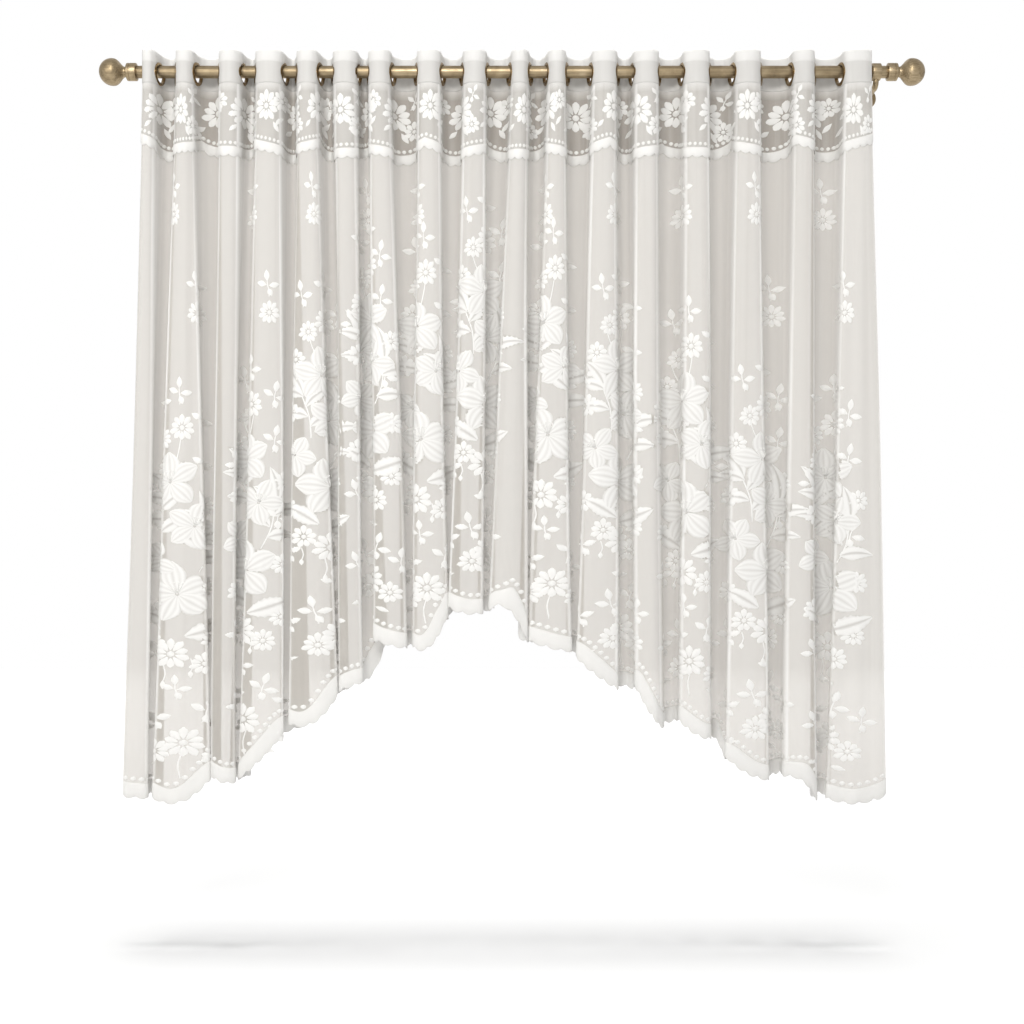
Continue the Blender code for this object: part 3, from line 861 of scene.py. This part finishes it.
panelFlowers, panelLilies, panelLeaves, panelGarland, panelEdge = (
    Embroidery(panel["lift"], design["panelDrop"], design["leastFacing"]) for _ in range(5))
for index, share in enumerate(repeatPlaces):
    u, hem = share * cloth["flatWidth"], float(hemAt(share))
    addHemGroup(panelGarland, (u, hem + repeatHeights["group"], 0.0, 1.0))
    addBouquet(panelFlowers, panelLilies, panelLeaves, (u, hem + repeatHeights["bouquet"], 0.0, 1.0))
    for row, height in enumerate(repeatHeights["rows"]):
        beside = u + (0.055 if row % 2 else -0.02)
        if height > hem + repeatHeights["top"] and beside < cloth["flatWidth"] - 0.03:
            addTopGroup(panelGarland, (beside, height, 0.0, 1.0))
addBorder(panelEdge, panelLine, panel)
addDotRow(panelEdge, panelLine, panel)

valanceFlowers, valanceEdge = (
    Embroidery(valance["lift"], design["valanceDrop"], design["leastFacing"]) for _ in range(2))
for index in range(valance["lobes"] * 2):
    share = (index + 0.5) / (valance["lobes"] * 2)
    place = (share * cloth["flatWidth"], -0.086 if index % 2 else -0.078, 0.0, 1.0)
    addDaisy(valanceFlowers, place, 0.0335)
    if index % 2:
        addDaisy(valanceFlowers, turned(place, 0.047, -0.030), 0.021, 9)
        addSprig(valanceFlowers, turned(place, 0.048, 0.030, -0.5), 0.038)
    else:
        addDaisy(valanceFlowers, turned(place, 0.047, 0.012), 0.022, 9)
        addSmallLeaf(valanceFlowers, turned(place, 0.054, -0.020, 2.4), 0.026, 0.0052)
    addSmallLeaf(valanceFlowers, turned(place, 0.020, -0.032, -2.6), 0.024, 0.0054)
    addSmallLeaf(valanceFlowers, turned(place, -0.030, -0.028, 2.3), 0.022, 0.0050)
addBorder(valanceEdge, valanceLine, valance)
addDotRow(valanceEdge, valanceLine, valance)

panelWork = [
    panelFlowers.finish("panelFlowers"),
    panelLilies.finish("panelLilies"),
    panelLeaves.finish("panelLeaves"),
    panelGarland.finish("panelGarland"),
    panelEdge.finish("panelBorder"),
]
valanceWork = [valanceFlowers.finish("valanceFlowers"), valanceEdge.finish("valanceBorder")]
print("embroidery stitched")

# heading and eyelets
eyelet = {
    "drop": 0.0045,
    "hole": 0.0197,
    "steps": 40,
    # radius and half width of the rolled rim, from the bore outwards, in millimetres
    "profile": ((17.75, 2.4), (17.95, 3.2), (18.5, 3.7), (19.3, 3.6), (20.4, 3.1), (21.6, 2.9),
                (22.6, 2.6), (23.3, 2.0), (23.5, 1.6)),
}


def eyeletPlaces():
    places = []
    for column in range(len(columnOrder) - 1):
        if columnOrder[column] != columnOrder[column + 1]:
            start, end = topColumns[column], topColumns[column + 1]
            across = end - start
            turn = math.atan2(-across[0], across[1])
            centre = (float(start[0] + end[0]) / 2, float(start[1] + end[1]) / 2, -eyelet["drop"])
            places.append((centre, turn, (columnShare[column] + columnShare[column + 1]) / 2))
    return places


places = eyeletPlaces()
headingShape = {"rows": 23, "cutReach": 0.035}


def makeHeading():
    rows = headingShape["rows"]
    heights = np.linspace(cloth["headingTop"], cloth["headingBottom"], rows)[:, None]
    points, flat = sheetPoints(np.broadcast_to(heights, (rows, len(fineShare))), 0.0)
    grid = points.reshape(rows, -1, 3)
    middle = (grid[:-1, :-1] + grid[1:, 1:]) / 2
    kept = np.ones(middle.shape[:2], bool)
    for centre, _, share in places:
        near = np.abs(fineShare[:-1] - share) * cloth["flatWidth"] < headingShape["cutReach"]
        away = np.linalg.norm(middle - np.array(centre), axis=-1)
        kept &= ~((away < eyelet["hole"]) & near[None, :])
    faces = np.array(sheetFaces(rows))[kept.ravel()]
    used = np.zeros(len(points), bool)
    used[faces] = True
    faces = (np.cumsum(used) - 1)[faces].tolist()
    heading = clothMesh("headingBand", points[used], faces, flat[used], headingMaterial)
    thickness = heading.modifiers.new("doubled", "SOLIDIFY")
    thickness.thickness = cloth["headingThickness"]
    thickness.offset = 0.0
    useOnly(heading)
    bpy.ops.object.modifier_apply(modifier=thickness.name)
    return finishPiece(heading, "heading_cloth", "heading")


headingSeams = {"height": 0.0155, "stitch": 0.0034, "gap": 0.0014, "halfWidth": 0.00045, "tip": 0.0002}


def makeSeams():
    work = Embroidery(cloth["headingThickness"] / 2)
    pitch = headingSeams["stitch"] + headingSeams["gap"]
    half = headingSeams["stitch"] / 2
    line = [(-half, 0.0), (0.0, 0.0), (half, 0.0)]
    widths = [headingSeams["tip"], headingSeams["halfWidth"], headingSeams["tip"]]
    for index in range(int(cloth["flatWidth"] / pitch) - 1):
        place = ((index + 0.75) * pitch, headingSeams["height"], 0.0, 1.0)
        work.addBlade(place, line, widths, [0.3, 0.3, 0.3], 0.0004)
    return work.finish("headingSeam", "heading_cloth")


headingBand = makeHeading()
headingSeam = makeSeams()


# a closed or open outline of (radius, height) pairs in millimetres, spun about Z
def spunMesh(name, outline, steps, closed):
    mesh = bpy.data.meshes.new(name)
    count = len(outline)
    edges = [(index, index + 1) for index in range(count - 1)] + ([(count - 1, 0)] if closed else [])
    mesh.from_pydata([(radius / 1000, 0.0, height / 1000) for radius, height in outline], edges, [])
    item = addItem(name, mesh)
    useOnly(item)
    bpy.ops.object.mode_set(mode="EDIT")
    bpy.ops.mesh.select_all(action="SELECT")
    bpy.ops.mesh.spin(steps=steps, angle=2 * math.pi, center=(0, 0, 0), axis=(0, 0, 1))
    bpy.ops.mesh.select_all(action="SELECT")
    bpy.ops.mesh.remove_doubles(threshold=0.00001)
    bpy.ops.mesh.normals_make_consistent(inside=False)
    bpy.ops.object.mode_set(mode="OBJECT")
    return item


def placeMesh(item, location, rotation):
    item.data.transform(Matrix.LocRotScale(Vector(location), Euler(rotation), None))
    item.data.update()


def makeEyelets():
    rim = eyelet["profile"]
    outline = list(rim) + [(radius, -half) for radius, half in reversed(rim)]
    first = spunMesh("eyeletRing", outline, eyelet["steps"], closed=True)
    smoothByAngle(first, 50)
    for number, (centre, turn, _) in enumerate(places, 1):
        ring = linkMesh(f"eyeletRing{number:02d}", first.data.copy(), bronzeMaterial)
        placeMesh(ring, centre, (0.0, math.pi / 2, turn))
        finishPiece(ring, "eyelet_bronze", f"eyelet_{number:02d}")
    bpy.data.objects.remove(first, do_unlink=True)


makeEyelets()
print("heading and eyelets made")


# rod, finials, brackets
def addCylinder(name, sides, radius, depth):
    deselectAll()
    bpy.ops.mesh.primitive_cylinder_add(vertices=sides, radius=radius, depth=depth, location=(0, 0, 0))
    item = bpy.context.object
    item.name = item.data.name = name
    return item


def roundEdges(item, width, segments):
    rounded = item.modifiers.new("edges", "BEVEL")
    rounded.width = width
    rounded.segments = segments
    rounded.limit_method = "ANGLE"
    bpy.ops.object.modifier_apply(modifier=rounded.name)


def finishBrass(item, node):
    item.data.materials.clear()
    item.data.materials.append(brassMaterial)
    smoothByAngle(item)
    finishPiece(item, "rod_brass", node)


rod = {"radius": 0.0125, "halfLength": 0.786, "sides": 64, "bevel": 0.0008}


def makeRod():
    item = addCylinder("curtainRod", rod["sides"], rod["radius"], 2 * rod["halfLength"])
    roundEdges(item, rod["bevel"], 2)
    placeMesh(item, (0.0, -cloth["rodToWall"], 0.0), (0.0, math.pi / 2, 0.0))
    finishBrass(item, "rod")


# millimetres from the collar's inner end: a ball that tapers to its neck, a bead, a collar with one
# turned groove, and the socket for the rod
finial = {
    "innerEnd": 0.769, "ball": 50.5, "ballRadius": 27.5, "ballHalf": 26.5, "ballSteps": 12,
    "neck": 10.5, "neckEnd": 24.0, "taperSteps": 18, "taperPower": 1.4,
    "bead": ((10.5, 23.2), (10.9, 22.6), (12.2, 22.2), (13.0, 21.5), (13.2, 20.6), (13.2, 20.0)),
    "collar": ((16.6, 20.0), (17.6, 19.5), (18.0, 18.5), (18.0, 14.6), (17.3, 14.0), (17.3, 13.3),
               (18.0, 12.7), (18.0, 1.5), (17.5, 0.4), (16.5, 0.0)),
    "socket": ((12.8, 0.0), (12.8, 17.3), (0.0, 17.3)),
    "steps": 56,
}


def finialOutline():
    outline = []
    for step in range(finial["ballSteps"] + 1):
        turn = math.pi / 2 * (1 - step / finial["ballSteps"])
        radius = finial["ballRadius"] * math.cos(turn) if step else 0.0
        outline.append((radius, finial["ball"] + finial["ballHalf"] * math.sin(turn)))
    for step in range(1, finial["taperSteps"] + 1):
        share = step / finial["taperSteps"]
        swell = (1 + math.cos(math.pi * share ** finial["taperPower"])) / 2
        outline.append((finial["neck"] + (finial["ballRadius"] - finial["neck"]) * swell,
                        finial["ball"] + (finial["neckEnd"] - finial["ball"]) * share))
    return [*outline, *finial["bead"], *finial["collar"], *finial["socket"]]


def makeFinials():
    for name, side in (("left", -1), ("right", 1)):
        item = spunMesh(f"finialBall{name.capitalize()}", finialOutline(), finial["steps"], closed=False)
        place = (side * finial["innerEnd"], -cloth["rodToWall"], 0.0)
        placeMesh(item, place, (0.0, side * math.pi / 2, 0.0))
        finishBrass(item, f"finial_{name}")


# armFoot and saddleRing are outlines in millimetres, the ring's of one half, which is mirrored
bracket = {
    "x": 0.746, "arm": 0.006, "armTop": -0.0152, "drop": 0.030, "bend": 0.014,
    "plate": 0.022, "plateThickness": 0.006, "plateRounding": 0.0018, "screwSpacing": 0.030,
    "armFoot": ((6.0, 0.0), (9.6, 0.0), (9.3, 1.4), (7.8, 3.2), (6.9, 5.8), (6.0, 6.2)),
    "saddleRing": ((12.9, 8.2), (13.7, 9.0), (16.1, 9.0), (17.1, 8.5), (17.5, 7.5)),
}
screw = {"radius": 0.0043, "depth": 0.0022, "rim": 0.0009, "dome": 0.0007, "face": 0.0013, "socket": 0.0014}


def makeArm(name, x):
    curve = bpy.data.curves.new(name, "CURVE")
    curve.dimensions = "3D"
    curve.bevel_depth = bracket["arm"]
    curve.bevel_resolution = 6
    curve.use_fill_caps = True
    route = [(-cloth["rodToWall"], bracket["armTop"])]
    for step in range(13):
        turn = step * math.pi / 24
        route.append((-cloth["rodToWall"] + bracket["bend"] * (1 - math.cos(turn)),
                      -bracket["drop"] + bracket["bend"] * (1 - math.sin(turn))))
    route.append((-bracket["plateThickness"] / 2, -bracket["drop"]))
    spline = curve.splines.new("POLY")
    spline.points.add(len(route) - 1)
    for point, (y, z) in zip(spline.points, route):
        point.co = (x, y, z, 1.0)
    useOnly(addItem(name, curve))
    bpy.ops.object.convert(target="MESH")
    return bpy.context.object


# a round head with a round socket sunk into it
def makeScrew(name, x, z):
    item = addCylinder(name, 24, screw["radius"], screw["depth"])
    bpy.ops.object.mode_set(mode="EDIT")
    bpy.ops.mesh.select_all(action="DESELECT")
    bpy.ops.object.mode_set(mode="OBJECT")
    for face in item.data.polygons:
        face.select = face.normal.z > 0.9
    bpy.ops.object.mode_set(mode="EDIT")
    bpy.ops.mesh.select_mode(type="FACE")
    bpy.ops.mesh.inset(thickness=screw["rim"], depth=screw["dome"])
    bpy.ops.mesh.inset(thickness=screw["face"], depth=0.0)
    bpy.ops.mesh.extrude_region_move(TRANSFORM_OT_translate={"value": (0, 0, -screw["socket"])})
    bpy.ops.object.mode_set(mode="OBJECT")
    placeMesh(item, (x, -bracket["plateThickness"] - screw["depth"] / 2, z), (math.pi / 2, 0.0, 0.0))
    return item


def makeBrackets():
    ring = bracket["saddleRing"]
    ring = (*ring, *((radius, -half) for radius, half in reversed(ring)))
    facing = (math.pi / 2, 0.0, 0.0)
    for name, side in (("left", -1), ("right", 1)):
        x = side * bracket["x"]
        thick = bracket["plateThickness"]
        plate = addCylinder(f"wallBracket{name.capitalize()}", 56, bracket["plate"], thick)
        placeMesh(plate, (x, -thick / 2, -bracket["drop"]), facing)
        roundEdges(plate, bracket["plateRounding"], 4)
        foot = spunMesh("armFoot", bracket["armFoot"], 32, closed=True)
        placeMesh(foot, (x, -thick, -bracket["drop"]), facing)
        saddle = spunMesh("saddleRing", ring, 48, closed=True)
        placeMesh(saddle, (x, -cloth["rodToWall"], 0.0), (0.0, math.pi / 2, 0.0))
        pieces = [foot, saddle, makeArm("bracketArm", x)]
        for up in (-1, 1):
            pieces.append(makeScrew("plateScrew", x, -bracket["drop"] + up * bracket["screwSpacing"] / 2))
        useOnly(plate)
        for piece in pieces:
            piece.select_set(True)
        bpy.ops.object.join()
        finishBrass(plate, f"bracket_{name}")


makeRod()
makeFinials()
makeBrackets()
print("rod, finials and brackets made")

# floor, light and camera
stage = {"floor": -1.79, "floorSize": 14.0, "backdrop": 5.0, "roomLight": 0.65, "backdropLight": 1.0,
         "floorColour": (0.51, 0.51, 0.51), "floorGlow": 0.375, "glowStarts": 0.05, "glowFull": 2.6,
         "topLight": 3.3, "topSpread": 14.0, "white": (1.0, 1.0, 1.0)}


# a large square plane with one material
def addPlane(name, location, rotation, shading):
    bpy.ops.mesh.primitive_plane_add(size=stage["floorSize"], location=location, rotation=rotation)
    plane = bpy.context.object
    plane.name = name
    plane.data.materials.append(shading.material)
    return plane


# a plain floor and backdrop; the glow, behind the curtain, keeps both evenly pale
def makeStage():
    deselectAll()
    pale = Shading("paleFloor", stage["floorColour"], 0.9)
    place = pale.add("ShaderNodeTexCoord", {}).outputs["Object"]
    away = pale.add("ShaderNodeSeparateXYZ", {"Vector": place}).outputs["Y"]
    glow = pale.spread(away, stage["glowStarts"], stage["glowFull"], 0.0, stage["floorGlow"])
    pale.feed(pale.shader, {"Emission Color": stage["white"], "Emission Strength": glow})
    floor = addPlane("paleFloor", (0, 0, stage["floor"]), (0, 0, 0), pale)
    bright = Shading("paleBackdrop", (0.0, 0.0, 0.0), 1.0)
    bright.feed(bright.shader, {"Specular IOR Level": 0.0, "Emission Color": stage["white"],
                                "Emission Strength": stage["backdropLight"]})
    backdrop = addPlane("paleBackdrop", (0, stage["backdrop"], 0), (math.pi / 2, 0, 0), bright)


# place, target, size, watts and colour of each;
# the key stands in front and high, so that it reaches into the folds
lamps = {
    "keyLight": ((-0.6, -3.4, 1.0), (-0.1, 0, -0.8), (1.4, 1.0), 76.0, (1.0, 0.99, 0.97)),
    "sideLight": ((-2.6, -2.8, 0.2), (0, 0, -0.8), (1.2, 1.6), 20.0, (1.0, 0.985, 0.96)),
    "fillLight": ((2.6, -2.6, 0.6), (0, 0, -0.8), (1.6, 1.6), 3.0, (0.97, 0.985, 1.0)),
}


def addLamp(name, location, target, size, power, colour):
    lamp = bpy.data.lights.new(name, "AREA")
    lamp.shape = "RECTANGLE"
    lamp.size, lamp.size_y = size
    lamp.energy = power
    lamp.color = colour
    item = addItem(name, lamp)
    item.location = location
    item.rotation_euler = (Vector(target) - Vector(location)).to_track_quat("-Z", "Y").to_euler()


# even light from straight above, for the soft shadow on the floor; the metal doesn't mirror it
def addTopLight():
    lamp = bpy.data.lights.new("topLight", "SUN")
    lamp.energy = stage["topLight"]
    lamp.angle = math.radians(stage["topSpread"])
    addItem("topLight", lamp).visible_glossy = False


def lightScene():
    world = bpy.data.worlds.new("studio")
    bpy.context.scene.world = world
    world.use_nodes = True
    background = world.node_tree.nodes["Background"]
    background.inputs["Color"].default_value = (*stage["white"], 1.0)
    background.inputs["Strength"].default_value = stage["roomLight"]
    for name, values in lamps.items():
        addLamp(name, *values)
    addTopLight()


camera = {"location": (0.0, -3.006, -0.902), "lens": 50.0, "sensor": 36.0}


def addCamera():
    lens = bpy.data.cameras.new("photoCamera")
    lens.lens = camera["lens"]
    lens.sensor_width = camera["sensor"]
    item = addItem("photoCamera", lens)
    item.location = camera["location"]
    item.rotation_euler = (math.pi / 2, 0.0, 0.0)
    bpy.context.scene.camera = item


makeStage()
lightScene()
addCamera()
bpy.context.scene.view_settings.view_transform = "Standard"
bpy.context.scene.cycles.transparent_max_bounces = 32
print("stage set")
